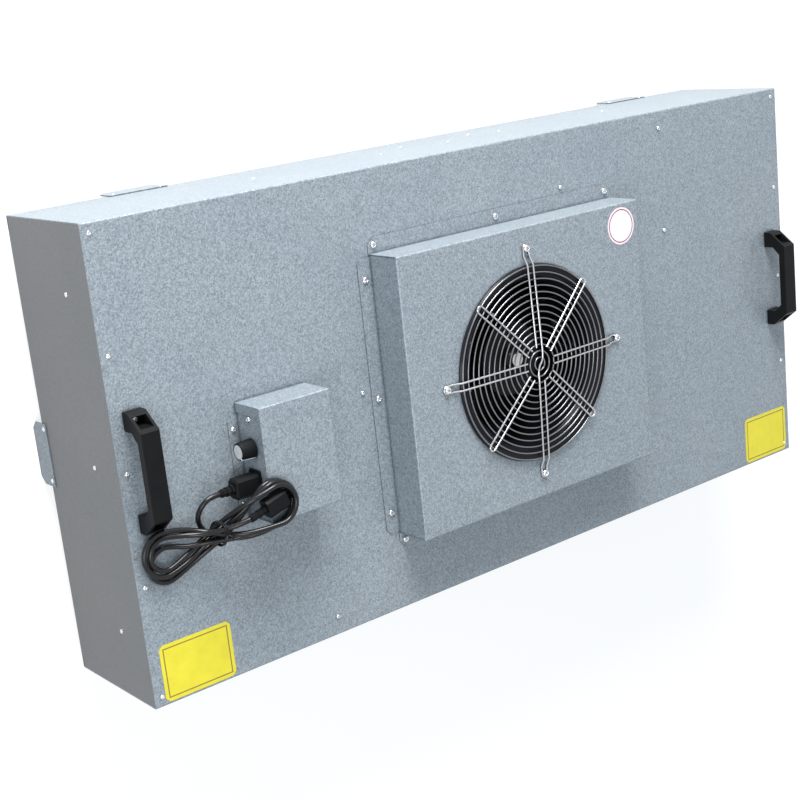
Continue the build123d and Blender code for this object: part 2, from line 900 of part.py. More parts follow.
wall_inside_x = half_length - case_sheet
wall_inside_y = half_width - case_sheet
end_rail_length = 2 * (wall_inside_y - rail_leg - case_sheet)
long_rail_length = 2 * (wall_inside_x - end_flange)
for side, place in ((-1, "left"), (1, "right")):
    end_plane = Plane(origin=(side * wall_inside_x, 0, 0), x_dir=(-side, 0, 0), z_dir=(0, side, 0))
    save(build_rail(end_rail_length, end_plane), f"filter_rail_{place}")
for side, place in ((-1, "front"), (1, "back")):
    long_plane = Plane(origin=(0, side * wall_inside_y, 0), x_dir=(0, -side, 0), z_dir=(-side, 0, 0))
    save(build_rail(long_rail_length, long_plane), f"filter_rail_{place}")

# ================================================================ control box
box_x = box_inset - half_length
box_middle_x = box_x + box_length / 2
box_top = plate_top + box_height
box_front_y = box_y - box_width / 2
box_back_y = box_y + box_width / 2
lip_inside = box_x + box_sheet
control_z = plate_top + control_rise

# The cover: five folded sides, with a lip round the open left end that the panel sits behind.
with BuildPart() as control_cover:
    with BuildSketch(Plane.XY.offset(plate_top)):
        with Locations((box_middle_x, box_y)):
            Rectangle(box_length, box_width)
    extrude(amount=box_height)
    fillet(control_cover.edges().group_by(Axis.Z)[-1].filter_by(Axis.X), box_bend)
    with BuildSketch(Plane.XY.offset(plate_top)):
        with Locations((box_middle_x, box_y)):
            Rectangle(box_length - 2 * box_sheet, box_width - 2 * box_sheet)
    extrude(amount=box_height - box_sheet, mode=Mode.SUBTRACT)
    window_width = box_width - box_sheet - box_top_lip
    with BuildSketch(Plane.YZ.offset(box_x - box_sheet)):
        with Locations((box_front_y + box_sheet, plate_top)):
            Rectangle(
                window_width - box_sheet, box_height - box_front_lip, align=(Align.MIN, Align.MIN)
            )
    extrude(amount=3 * box_sheet, mode=Mode.SUBTRACT)
save(control_cover, "control_cover")

# The panel: an angle whose foot flange is screwed to the plate in front of the box.
panel_inside = lip_inside + box_sheet
panel_width = box_width - 2 * box_sheet - 2 * panel_margin
panel_height = box_height - box_sheet - panel_margin
foot_width = window_width - box_sheet - 2 * panel_margin
foot_y = box_front_y + box_sheet + panel_margin + foot_width / 2
with BuildPart() as control_panel:
    with BuildSketch(Plane.YZ.offset(lip_inside)):
        with Locations((box_y, plate_top + panel_height / 2)):
            Rectangle(panel_width, panel_height)
        with Locations((knob_y, control_z)):
            Circle(bushing_radius + bushing_fit, mode=Mode.SUBTRACT)
        with Locations((inlet_y, control_z)):
            Rectangle(
                inlet_body_width + 2 * inlet_fit, inlet_body_height + 2 * inlet_fit, mode=Mode.SUBTRACT
            )
    extrude(amount=box_sheet)
    with BuildSketch(Plane.XY.offset(plate_top)):
        with Locations((lip_inside, foot_y)):
            foot = Rectangle(box_flange + box_sheet, foot_width, align=(Align.MAX, Align.CENTER))
        chamfer(foot.vertices().group_by(Axis.X)[0], hood_flange_corner)
    extrude(amount=box_sheet)
save(control_panel, "control_panel")

foot_screw_x = box_x - box_flange / 2
panel_screw_y = box_back_y - panel_screw_back
with BuildPart() as box_screws:
    with BuildSketch(Plane.XY.offset(plate_top + box_sheet)):
        with Locations(
            (foot_screw_x, box_back_y - foot_screw_back),
            (foot_screw_x, box_front_y + foot_screw_front),
        ):
            head_outline(box_head_radius)
    extrude(amount=pan_head_height, taper=head_taper)
    with BuildSketch(Plane(origin=(lip_inside, panel_screw_y, control_z), z_dir=(-1, 0, 0))):
        head_outline(box_head_radius)
    extrude(amount=pan_head_height, taper=head_taper)
save(box_screws, "box_screws")

# ================================================================ speed control
knob_base = bushing_proud + knob_gap
knob_skirt = knob_gap
knob_top = knob_skirt + knob_length


def knob_plane(reach):
    """Plane across the knob's axis, at a distance out of the panel."""
    return Plane(origin=(lip_inside - reach, knob_y, control_z), x_dir=(0, 1, 0), z_dir=(-1, 0, 0))


with BuildPart() as speed_knob:
    for reach, radius in (
        (knob_skirt, knob_radius),
        (knob_top - knob_edge, knob_top_radius),
        (knob_top, knob_top_radius - knob_edge),
    ):
        with BuildSketch(knob_plane(reach)):
            RegularPolygon(radius, knob_sides)
    loft(ruled=True)
    # Hollow over the nut, bore for the shaft and seat for the cap.
    with BuildSketch(knob_plane(knob_skirt)):
        RegularPolygon(nut_radius + knob_gap, knob_hollow_sides, major_radius=False)
    extrude(amount=knob_base - knob_skirt, mode=Mode.SUBTRACT)
    with BuildSketch(knob_plane(knob_base)):
        Circle(knob_shaft_radius + knob_seat_fit)
    extrude(amount=knob_shaft_reach, mode=Mode.SUBTRACT)
    with BuildSketch(knob_plane(knob_top - knob_cap_depth)):
        RegularPolygon(knob_cap_radius + knob_cap_fit, knob_sides)
    extrude(amount=knob_cap_depth, mode=Mode.SUBTRACT)
save(speed_knob, "speed_knob")

with BuildPart() as knob_cap:
    with BuildSketch(knob_plane(knob_top - knob_cap_depth)):
        RegularPolygon(knob_cap_radius, knob_sides)
    extrude(amount=knob_cap_depth)
save(knob_cap, "knob_cap")

# The pointer: a raised line along the skirt and over the rim.
pointer_plane = Plane(
    origin=(lip_inside, knob_y, control_z),
    x_dir=(-1, 0, 0),
    z_dir=(0, cos(radians(pointer_angle)), sin(radians(pointer_angle))),
)
pointer_foot = knob_skirt + knob_edge
with BuildPart() as knob_pointer:
    with BuildSketch(pointer_plane):
        with BuildLine():
            Polyline(
                (pointer_foot, knob_radius),
                (knob_top - knob_edge, knob_top_radius + bearing_fit),
                (knob_top + bearing_fit, knob_top_radius - knob_edge),
                (knob_top + bearing_fit, knob_cap_radius + 2 * knob_cap_fit),
                (knob_top + pointer_proud, knob_cap_radius + 2 * knob_cap_fit),
                (knob_top + pointer_proud, knob_top_radius - knob_edge + pointer_proud),
                (knob_top - knob_edge + pointer_proud, knob_top_radius + pointer_proud),
                (pointer_foot, knob_radius + pointer_proud),
                close=True,
            )
        make_face()
    extrude(amount=pointer_width / 2, both=True)
save(knob_pointer, "knob_pointer")

shaft_inner_end = -box_sheet - regulator_length / 3
shaft_outer_end = knob_base + knob_shaft_reach - knob_gap
with BuildPart() as knob_shaft:
    with BuildSketch(knob_plane(shaft_inner_end)):
        Circle(knob_shaft_radius)
    extrude(amount=shaft_outer_end - shaft_inner_end)
save(knob_shaft, "knob_shaft")

with BuildPart() as speed_regulator:
    with BuildSketch(Plane(origin=(panel_inside, knob_y, control_z), z_dir=(1, 0, 0))):
        Rectangle(regulator_height, regulator_width)
    extrude(amount=regulator_length)
    with BuildSketch(Plane(origin=(panel_inside, knob_y, control_z), z_dir=(-1, 0, 0))):
        RegularPolygon(bushing_radius, 2 * head_sides)
    extrude(amount=box_sheet + bushing_proud)
    with BuildSketch(knob_plane(bushing_proud)):
        Circle(knob_shaft_radius + knob_shaft_fit)
    extrude(amount=-(bushing_proud + box_sheet + regulator_length / 2), mode=Mode.SUBTRACT)
save(speed_regulator, "speed_regulator")

with BuildPart() as regulator_nut:
    with BuildSketch(knob_plane(0)):
        RegularPolygon(nut_radius, head_sides)
        RegularPolygon(bushing_radius + bearing_fit, 2 * head_sides, major_radius=False, mode=Mode.SUBTRACT)
    extrude(amount=nut_height)
save(regulator_nut, "regulator_nut")

# ================================================================ run capacitor and terminal block
capacitor_y = box_front_y + box_sheet + capacitor_gap + capacitor_length / 2
terminal_y = box_back_y - box_sheet - terminal_gap - terminal_width / 2
with BuildPart() as run_capacitor:
    with BuildSketch(Plane.XY.offset(plate_top)):
        with Locations((capacitor_x, capacitor_y)):
            Rectangle(capacitor_width, capacitor_length)
    extrude(amount=capacitor_height)
    chamfer(run_capacitor.edges().group_by(Axis.Z)[-1], capacitor_edge)
    with BuildSketch(Plane.XY.offset(plate_top)):
        with Locations((capacitor_x, capacitor_y + capacitor_length / 2)):
            Rectangle(capacitor_ear, capacitor_ear, align=(Align.CENTER, Align.MIN))
    extrude(amount=capacitor_ear_sheet)
save(run_capacitor, "run_capacitor")

with BuildPart() as terminal_block:
    with BuildSketch(Plane.XY.offset(plate_top)):
        with Locations((terminal_x, terminal_y)):
            Rectangle(terminal_length, terminal_width)
    extrude(amount=terminal_height)
    with BuildSketch(Plane.XY.offset(plate_top + terminal_height)):
        with Locations((terminal_x, terminal_y)):
            with GridLocations(0, terminal_width / terminal_ways, 1, terminal_ways):
                Rectangle(terminal_length / 2, terminal_width / terminal_ways / 2)
    extrude(amount=-terminal_height / 2, mode=Mode.SUBTRACT)
save(terminal_block, "terminal_block")

# ================================================================ power inlet
inlet_front = lip_inside - inlet_flange_sheet


def pin_rectangles(width, height):
    """Three pin outlines on the inlet's axis, in the plane's local frame."""
    with Locations(*pin_places):
        Rectangle(width, height)


with BuildPart() as power_inlet:
    with BuildSketch(Plane(origin=(inlet_front, inlet_y, control_z), x_dir=(0, 1, 0), z_dir=(1, 0, 0))):
        flange = Rectangle(inlet_flange_width, inlet_flange_height)
        chamfer(flange.vertices(), inlet_flange_sheet)
    extrude(amount=inlet_flange_sheet)
    with BuildSketch(Plane(origin=(lip_inside, inlet_y, control_z), x_dir=(0, 1, 0), z_dir=(1, 0, 0))):
        Rectangle(inlet_body_width, inlet_body_height)
    extrude(amount=inlet_body_depth)
    with BuildSketch(Plane(origin=(inlet_front, inlet_y, control_z), x_dir=(0, 1, 0), z_dir=(1, 0, 0))):
        Rectangle(inlet_recess_width, inlet_recess_height)
    extrude(amount=inlet_recess_depth, mode=Mode.SUBTRACT)
    with BuildSketch(
        Plane(origin=(inlet_front + inlet_recess_depth, inlet_y, control_z), x_dir=(0, 1, 0), z_dir=(1, 0, 0))
    ):
        pin_rectangles(pin_thickness, pin_width)
    extrude(amount=-pin_length)
save(power_inlet, "power_inlet")

# ================================================================ connector on the lead
def build_relief(root, length, root_radius):
    """Tapered strain relief with ribs, of flat sides, standing on a plane."""
    rib_pitch = length / relief_ribs
    slope = (root_radius - relief_tip_radius) / length
    with BuildPart() as relief:
        with BuildSketch(root):
            RegularPolygon(relief_tip_radius, relief_sides)
        extrude(amount=length)
        for index in range(relief_ribs):
            foot = index * rib_pitch
            with BuildSketch(root.offset(foot)):
                RegularPolygon(root_radius - slope * foot, relief_sides)
            extrude(amount=rib_pitch * relief_rib_share)
    return relief


def inlet_plane(x, outward):
    """Plane across the inlet's axis; outward is -1 for out of the box and 1 for into it."""
    return Plane(origin=(x, inlet_y, control_z), x_dir=(0, 1, 0), z_dir=(outward, 0, 0))


def cut_corner_outline(width, height, cut):
    """Section of a moulded plug body, with its corners cut."""
    outline = Rectangle(width, height)
    chamfer(outline.vertices(), cut)


with BuildPart() as cord_connector:
    with BuildSketch(inlet_plane(inlet_front, -1)):
        cut_corner_outline(connector_width, connector_height, connector_bevel)
    extrude(amount=connector_length)
    chamfer(cord_connector.faces().sort_by(Axis.X)[0].edges(), connector_end_bevel)
    with BuildSketch(inlet_plane(inlet_front, 1)):
        Rectangle(inlet_recess_width - 2 * nose_fit, inlet_recess_height - 2 * nose_fit)
        with Locations(*pin_places):
            Rectangle(pin_thickness + 2 * nose_fit, pin_width + 2 * nose_fit, mode=Mode.SUBTRACT)
    extrude(amount=nose_length)
    add(build_relief(inlet_plane(inlet_front - connector_length, -1), relief_length, relief_root_radius).part)
save(cord_connector, "cord_connector")

# ================================================================ free lead
cord_radius = cord_diameter / 2


def route_radii(points):
    """Radius at each corner: a share of the shorter run, over the tangent of half the turn."""
    radii = []
    for before, here, after in zip(points, points[1:], points[2:]):
        run_in = Vector(*here) - Vector(*before)
        run_out = Vector(*after) - Vector(*here)
        half_turn = radians(run_in.get_angle(run_out) / 2)
        radii.append(lead_fillet_share * min(run_in.length, run_out.length) / tan(half_turn))
    return radii


lead_radii = route_radii(lead_route)
lead_start = Vector(*lead_route[0])
lead_direction = Vector(*lead_route[1]) - lead_start
with BuildPart() as cord_lead:
    with BuildLine() as lead_line:
        FilletPolyline(*lead_route, radius=lead_radii)
    with BuildSketch(Plane(origin=lead_start, z_dir=lead_direction)):
        RegularPolygon(cord_radius, lead_sides)
    sweep(path=lead_line.line)
save(cord_lead, "cord_lead")
lead_length = sum(edge.length for edge in lead_line.line.edges())
section_volume = lead_sides / 2 * cord_radius**2 * sin(2 * pi / lead_sides) * lead_length
print("lead corner radii", [round(value, 1) for value in lead_radii])
print("lead length", round(lead_length, 1))
print("lead volume", round(cord_lead.part.volume, 1), "section times length", round(section_volume, 1))

# ================================================================ hank
# The hank is a tied figure eight. Its left loop lies on the plate, and its right loop climbs
# the end of the control box and lies on top of it.
hank_under = plate_top + cord_clearance
hank_over_box = box_top + cord_clearance
hank_thickness = hank_layers * cord_diameter + 2 * cord_clearance
ramp_length = hank_ramp_head_x - hank_ramp_foot_x
ramp_rise = hank_over_box - hank_under


def ramp_level(share):
    """Underside of the hank on the climb: an S curve from the plate to the box top."""
    return hank_under + ramp_rise * share * share * (3 - 2 * share)


ramp_shares = (0.0, 0.2, 0.35, 0.5, 0.65, 0.8, 1.0)
ramp_points = [(hank_ramp_foot_x + share * ramp_length, ramp_level(share)) for share in ramp_shares]
hank_side = [(hank_left, hank_under), *ramp_points, (hank_right, hank_over_box)]
with BuildPart() as cord_hank:
    with BuildSketch(Plane.XZ):
        with BuildLine():
            top_side = [(x, z + hank_thickness) for x, z in reversed(hank_side)]
            Polyline(*hank_side, *top_side, close=True)
        make_face()
    extrude(amount=half_width, both=True)
    with BuildSketch(Plane.XY.offset(plate_top)):
        with BuildLine():
            Polyline(*hank_outline, close=True)
        make_face()
        with Locations(left_eye):
            Rectangle(*left_eye_size, rotation=left_eye_turn, mode=Mode.SUBTRACT)
        with Locations(right_eye):
            Rectangle(*right_eye_size, rotation=plug_angle, mode=Mode.SUBTRACT)
    extrude(amount=2 * (box_height + hank_thickness), mode=Mode.INTERSECT)
save(cord_hank, "cord_hank")

# ================================================================ tie
# A flat wire tie round the waist of the hank, with two short tails.
waist_share = (hank_waist_x - hank_ramp_foot_x) / ramp_length
waist_under = ramp_level(waist_share) - tie_slack
waist_height = hank_thickness + 2 * tie_slack
waist_y = (waist_front_y + waist_back_y) / 2
waist_width = waist_back_y - waist_front_y
with BuildPart() as cord_tie:
    with BuildSketch(Plane.YZ.offset(hank_waist_x - tie_width / 2)):
        with Locations((waist_y, waist_under + waist_height / 2)):
            Rectangle(waist_width + 2 * tie_wire, waist_height + 2 * tie_wire)
            Rectangle(waist_width, waist_height, mode=Mode.SUBTRACT)
        with Locations((waist_front_y - tie_wire, waist_under + waist_height)):
            Rectangle(tie_tail, tie_wire, align=(Align.MAX, Align.MIN))
        with Locations((waist_back_y + tie_wire, waist_under + waist_height)):
            Rectangle(tie_tail, tie_wire, align=(Align.MIN, Align.MIN))
    extrude(amount=tie_width)
save(cord_tie, "cord_tie")

# ================================================================ mains plug
plug_z = box_top + cord_clearance + plug_height / 2
plug_root = Plane(
    origin=(plug_x, plug_y, plug_z),
    x_dir=(-sin(radians(plug_angle)), cos(radians(plug_angle)), 0),
    z_dir=(cos(radians(plug_angle)), sin(radians(plug_angle)), 0),
)
plug_face = plug_root.offset(plug_length)
plug_back = Plane(origin=plug_root.origin, x_dir=plug_root.x_dir, z_dir=-plug_root.z_dir)
with BuildPart() as mains_plug:
    with BuildSketch(plug_root):
        cut_corner_outline(plug_width, plug_height, plug_edge)
    extrude(amount=plug_length)
    chamfer(mains_plug.faces().sort_by(Axis(plug_root.origin, plug_root.z_dir))[-1].edges(), plug_edge / 2)
    add(build_relief(plug_back, plug_relief_length, plug_relief_radius).part)
    with BuildSketch(plug_face):
        with GridLocations(plug_blade_pitch, 0, 2, 1):
            Rectangle(plug_blade_thickness, plug_blade_width)
        with Locations((0, -plug_blade_width / 2)):
            Rectangle(plug_blade_width, plug_blade_thickness)
    extrude(amount=plug_blade_length)
save(mains_plug, "mains_plug")


# ================================================================ handles
def build_handle(middle_x):
    """Bridge handle: a flat grip on two feet whose sloped ends hold the recessed screws."""
    end_y = handle_length / 2
    grip_y = handle_grip_length / 2
    gap_y = end_y - handle_foot
    under_bar = handle_height - handle_bar
    profile = [
        (end_y, 0),
        (end_y, handle_end_height),
        (grip_y, handle_height),
        (-grip_y, handle_height),
        (-end_y, handle_end_height),
        (-end_y, 0),
        (-gap_y, 0),
        (-gap_y, under_bar - handle_inner_slope),
        (-gap_y + handle_inner_slope, under_bar),
        (gap_y - handle_inner_slope, under_bar),
        (gap_y, under_bar - handle_inner_slope),
        (gap_y, 0),
    ]
    pocket_y = (end_y + grip_y) / 2
    with BuildPart() as handle:
        with BuildSketch(Plane(origin=(middle_x, 0, plate_top), x_dir=(0, 1, 0), z_dir=(1, 0, 0))):
            with BuildLine():
                Polyline(*profile, close=True)
            make_face()
        extrude(amount=handle_width / 2, both=True)
        long_edges = handle.edges().filter_by(Axis.Y).group_by(Axis.Z)[-1]
        chamfer(long_edges, handle_edge)
        with BuildSketch(Plane.XY.offset(plate_top + handle_pocket_floor)):
            with Locations((middle_x, pocket_y), (middle_x, -pocket_y)):
                Rectangle(handle_width - 2 * handle_wall, handle_pocket_length)
        extrude(amount=handle_height, mode=Mode.SUBTRACT)
    return handle


save(build_handle(-handle_x), "handle_left")
save(build_handle(handle_x), "handle_right")

handle_screw_y = (handle_length + handle_grip_length) / 4
with BuildPart() as handle_screws:
    with BuildSketch(Plane.XY.offset(plate_top + handle_pocket_floor)):
        with GridLocations(2 * handle_x, 2 * handle_screw_y, 2, 2):
            head_outline(handle_screw_radius)
    extrude(amount=handle_screw_height, taper=head_taper)
save(handle_screws, "handle_screws")

# ================================================================ rivets and plate screws
wall_rivet_z = rim_z + wall_rivet_rise
with BuildPart() as end_rivets:
    with BuildSketch(Plane.XY.offset(plate_top)):
        end_rivet_pitch = 2 * corner_rivet_y / (end_rivet_count - 1)
        with GridLocations(2 * end_rivet_x, end_rivet_pitch, 2, end_rivet_count):
            head_outline(rivet_radius)
    extrude(amount=rivet_height)
    for side in (-1, 1):
        wall_face = Plane(origin=(side * half_length, 0, wall_rivet_z), x_dir=(0, 1, 0), z_dir=(side, 0, 0))
        with BuildSketch(wall_face):
            with GridLocations(half_width - wall_rivet_inset, 0, 3, 1):
                head_outline(rivet_radius)
        extrude(amount=rivet_height)
save(end_rivets, "end_rivets")

with BuildPart() as side_rivets_group:
    for side in (-1, 1):
        long_face = Plane(origin=(0, side * half_width, rim_z), x_dir=(1, 0, 0), z_dir=(0, side, 0))
        with BuildSketch(long_face):
            with Locations(*[(x, -side * rise) for x, rise in side_rivets]):
                head_outline(rivet_radius)
        extrude(amount=rivet_height)
save(side_rivets_group, "side_rivets")

edge_screw_y = half_width - edge_screw_inset
with BuildPart() as plate_screws:
    with BuildSketch(Plane.XY.offset(plate_top)):
        with Locations(
            *inner_plate_screws,
            (front_edge_screw_x, -edge_screw_y),
            (back_edge_screw_x, edge_screw_y),
        ):
            head_outline(rivet_radius)
    extrude(amount=pan_head_height, taper=head_taper)
save(plate_screws, "plate_screws")


# ================================================================ labels
def build_plate_label(middle_x):
    """Plain rectangular sticker, pierced where a rivet head stands in its corner."""
    with BuildPart() as label:
        with BuildSketch(Plane.XY.offset(plate_top)):
            with Locations((middle_x, label_front_inset - half_width)):
                field = Rectangle(label_width, label_height)
            chamfer(field.vertices(), label_corner)
            with Locations((-end_rivet_x, -corner_rivet_y), (end_rivet_x, -corner_rivet_y)):
                RegularPolygon(rivet_radius + sheet_gap, head_sides, mode=Mode.SUBTRACT)
        extrude(amount=label_sheet)
    return label


save(build_plate_label(label_left_inset - half_length), "label_left")
save(build_plate_label(half_length - label_right_inset), "label_right")
with BuildPart() as round_label:
    with BuildSketch(Plane.XY.offset(hood_top)):
        with Locations((round_label_x, round_label_y)):
            RegularPolygon(round_label_radius, round_label_sides)
    extrude(amount=label_sheet)
save(round_label, "round_label")
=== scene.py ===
"""Looks of the ceiling fan filter unit: finishes, wires, fasteners, cord, labels and camera."""
import json
import random
from math import cos, pi, radians, sin, sqrt

import bmesh
import bpy
from mathutils import Matrix, Vector


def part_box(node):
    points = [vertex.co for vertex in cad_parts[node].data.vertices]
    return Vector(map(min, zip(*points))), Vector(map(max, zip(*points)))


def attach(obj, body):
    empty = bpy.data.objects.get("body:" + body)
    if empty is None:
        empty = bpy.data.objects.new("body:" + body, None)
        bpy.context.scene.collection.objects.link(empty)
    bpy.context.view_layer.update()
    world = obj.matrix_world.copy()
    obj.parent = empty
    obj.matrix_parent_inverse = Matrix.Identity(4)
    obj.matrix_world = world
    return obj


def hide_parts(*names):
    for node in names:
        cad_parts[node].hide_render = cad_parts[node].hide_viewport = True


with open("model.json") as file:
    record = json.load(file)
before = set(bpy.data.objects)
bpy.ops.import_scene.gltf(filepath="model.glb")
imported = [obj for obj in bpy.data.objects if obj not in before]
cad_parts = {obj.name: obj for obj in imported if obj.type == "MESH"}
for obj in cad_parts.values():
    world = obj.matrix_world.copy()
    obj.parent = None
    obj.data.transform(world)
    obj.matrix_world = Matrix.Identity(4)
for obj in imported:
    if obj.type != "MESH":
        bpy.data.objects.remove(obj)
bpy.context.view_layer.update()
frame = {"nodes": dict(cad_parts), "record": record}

nodes = frame["nodes"]
MM = 0.001

# ---------------------------------------------------------------- sizes shared with the frame
PLATE_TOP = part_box("case_wrap")[1].z
HOOD_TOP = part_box("hood")[1].z
BOX_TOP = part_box("control_cover")[1].z

# ---------------------------------------------------------------- camera
CAMERA_PLACE = Vector((-1.3190, 0.4970, 1.7153))
CAMERA_RIGHT = Vector((0.77712, -0.10481, 0.62057))
CAMERA_UP = Vector((0.24231, 0.95985, -0.14132))
CAMERA_FORWARD = Vector((0.58084, -0.26019, -0.77131))
CAMERA_LENS = 68.92


def add_camera():
    data = bpy.data.cameras.new("camera")
    data.sensor_width = 36
    data.lens = CAMERA_LENS
    data.clip_start = 0.05
    data.clip_end = 50
    camera = bpy.data.objects.new("camera", data)
    turn = Matrix((CAMERA_RIGHT, CAMERA_UP, -CAMERA_FORWARD)).transposed().to_4x4()
    camera.matrix_world = Matrix.Translation(CAMERA_PLACE) @ turn
    bpy.context.scene.collection.objects.link(camera)
    bpy.context.scene.camera = camera
    bpy.context.scene.view_settings.view_transform = "Standard"


# ---------------------------------------------------------------- node helpers
class Shader:
    """Short names for building a material's node tree."""

    def __init__(self, name):
        self.material = bpy.data.materials.new(name)
        self.material.use_nodes = True
        self.tree = self.material.node_tree
        self.bsdf = self.tree.nodes["Principled BSDF"]
        self.coords = self.tree.nodes.new("ShaderNodeTexCoord").outputs["Object"]

    def node(self, kind, links=(), **settings):
        made = self.tree.nodes.new("ShaderNode" + kind)
        for key, value in settings.items():
            setattr(made, key, value)
        for socket, value in dict(links).items():
            self.feed(made.inputs[socket], value)
        return made

    def feed(self, socket, value):
        if isinstance(value, bpy.types.NodeSocket):
            self.tree.links.new(value, socket)
        else:
            socket.default_value = value

    def set(self, **values):
        """Values on the Principled shader: roughness=0.4, Base_Color=(r, g, b, 1)."""
        for key, value in values.items():
            self.feed(self.bsdf.inputs[key.replace("_", " ")], value)

    def noise(self, scale, detail=3.0, roughness=0.55):
        return self.node(
            "TexNoise",
            {"Vector": self.coords, "Scale": scale, "Detail": detail, "Roughness": roughness},
        ).outputs["Fac"]

    def cells(self, scale):
        return self.node("TexVoronoi", {"Vector": self.coords, "Scale": scale}).outputs["Color"]

    def ramp(self, value, *stops):
        made = self.node("ValToRGB", {"Fac": value})
        elements = made.color_ramp.elements
        while len(elements) < len(stops):
            elements.new(0.5)
        for element, (place, colour) in zip(elements, stops):
            element.position = place
            element.color = (*colour, 1)
        return made.outputs["Color"]

    def span(self, value, low, high):
        """A value from 0 to 1, spread over low to high."""
        return self.node("MapRange", {"Value": value, "To Min": low, "To Max": high}).outputs["Result"]

    def mix(self, share, first, second, blend="MIX"):
        made = self.node("Mix", data_type="RGBA", blend_type=blend)
        for index, value in ((0, share), (6, first), (7, second)):
            self.feed(made.inputs[index], value)
        return made.outputs[2]

    def math(self, operation, first, second=0.0):
        made = self.node("Math", operation=operation)
        self.feed(made.inputs[0], first)
        self.feed(made.inputs[1], second)
        return made.outputs[0]

    def bump(self, height, distance, strength=1.0):
        made = self.node("Bump", {"Height": height, "Distance": distance, "Strength": strength})
        self.set(Normal=made.outputs["Normal"])


RED_LOSS = 1.5
BLUE_GAIN = 1.1


def grey(value, blue):
    """A grey, a little towards blue."""
    return (value * (1 - RED_LOSS * blue), value, value * (1 + BLUE_GAIN * blue))


# ---------------------------------------------------------------- materials
SPANGLE_SIZE = 0.0016
GRAIN_SIZE = 0.0009
SEAM_REACH = 0.007
CRYSTAL_SHARE = 0.62


def zinc_sheet(name, dark, light, blue, roughness):
    """Galvanised sheet: small zinc crystals, faint clouds and rolled grain, with painted shade along its
    seams and crevices.
    """
    s = Shader(name)
    crystal = s.node("RGBToBW", {"Color": s.cells(1 / SPANGLE_SIZE)}).outputs[0]
    grain = s.noise(1 / GRAIN_SIZE, 2.0)
    cloud = s.noise(7.0, 2.0)
    tone = s.math(
        "ADD",
        s.math("MULTIPLY", crystal, CRYSTAL_SHARE),
        s.math("MULTIPLY", grain, 1 - CRYSTAL_SHARE),
    )
    middle = (dark + light) / 2
    base = s.ramp(tone, (0.2, grey(dark, blue)), (0.5, grey(middle, blue)), (0.8, grey(light, blue)))
    tint = s.ramp(cloud, (0.3, (0.93, 0.95, 0.97)), (0.7, (1.0, 1.0, 1.0)))
    # Painted shade: ambient occlusion darkens the colour in seams, creases and where parts meet.
    hollow = s.node("AmbientOcclusion", {"Distance": SEAM_REACH}, samples=8).outputs["AO"]
    painted_seam_shade = s.ramp(hollow, (0.35, (0.30, 0.32, 0.35)), (0.85, (1.0, 1.0, 1.0)))
    clouded = s.mix(1.0, base, tint, "MULTIPLY")
    s.set(
        Base_Color=s.mix(1.0, clouded, painted_seam_shade, "MULTIPLY"),
        Metallic=0.3,
        Roughness=s.span(crystal, roughness - 0.08, roughness + 0.1),
    )
    s.bump(tone, 0.0004, 0.35)
    return s.material


def bright_metal(name, colour, roughness, wear=0.08):
    """Plated or turned metal with fine scratches and cloudy lustre."""
    s = Shader(name)
    haze = s.noise(260.0, 3.0)
    s.set(
        Base_Color=s.ramp(haze, (0.3, tuple(c * 0.82 for c in colour)), (0.7, colour)),
        Metallic=1.0,
        Roughness=s.span(s.noise(90.0), roughness - wear / 2, roughness + wear),
    )
    s.bump(s.noise(1800.0, 2.0), 0.00005, 0.4)
    return s.material


def plastic(name, colour, roughness, grain=900.0, depth=0.00006, coat=0.0, shine=0.14):
    """Moulded plastic with a fine skin, slightly uneven in gloss."""
    s = Shader(name)
    skin = s.noise(grain, 2.0)
    blotch = s.noise(45.0, 3.0)
    s.set(
        Base_Color=s.ramp(
            blotch,
            (0.3, tuple(c * 0.85 for c in colour)),
            (0.7, tuple(c * 1.12 for c in colour)),
        ),
        Roughness=s.span(blotch, roughness - 0.05, roughness + 0.06),
        Specular_IOR_Level=shine,
        Coat_Weight=coat,
        Coat_Roughness=0.15,
    )
    s.bump(skin, depth, 0.6)
    return s.material


def pleated_paper():
    s = Shader("filter_paper")
    fibre = s.noise(1400.0, 4.0, 0.7)
    s.set(
        Base_Color=s.ramp(fibre, (0.3, (0.78, 0.78, 0.75)), (0.7, (0.90, 0.90, 0.87))),
        Roughness=0.95,
    )
    s.bump(fibre, 0.0003, 0.6)
    return s.material


def label_vinyl(name, colour):
    s = Shader(name)
    soil = s.noise(60.0, 3.0)
    s.set(
        Base_Color=s.ramp(soil, (0.3, tuple(c * 0.93 for c in colour)), (0.7, colour)),
        Roughness=s.span(soil, 0.32, 0.42),
    )
    s.bump(s.noise(500.0, 2.0), 0.00004, 0.3)
    return s.material


ZINC = zinc_sheet("zinc_sheet", 0.17, 0.39, 0.08, 0.46)
# Darker, plainer copy of the zinc sheet for the end panels: partly a plainer, less blue sheet, partly
# painted shade of the ends that face away from the key light.
ZINC_END_SHADED = zinc_sheet("zinc_panel_shaded", 0.15, 0.22, 0.005, 0.55)
WIRE = bright_metal("ring_wire", (0.24, 0.25, 0.26), 0.3)
ARM = bright_metal("arm_wire", (0.58, 0.59, 0.61), 0.24)
SCREW = bright_metal("zinc_screws", (0.72, 0.73, 0.75), 0.24)
CAP = bright_metal("bright_cap", (0.80, 0.81, 0.82), 0.2)
ALLOY = bright_metal("filter_alloy", (0.72, 0.73, 0.74), 0.38)
BLACK = plastic("black_moulding", (0.006, 0.0065, 0.007), 0.42, shine=0.09)
RING_BLACK = plastic("ring_black", (0.008, 0.009, 0.013), 0.3, coat=0.04)
FAN_BLACK = plastic("fan_black", (0.006, 0.0065, 0.008), 0.42, grain=300.0)
CORD = plastic("cord_pvc", (0.007, 0.007, 0.008), 0.26, grain=700.0, depth=0.00003, shine=0.32)
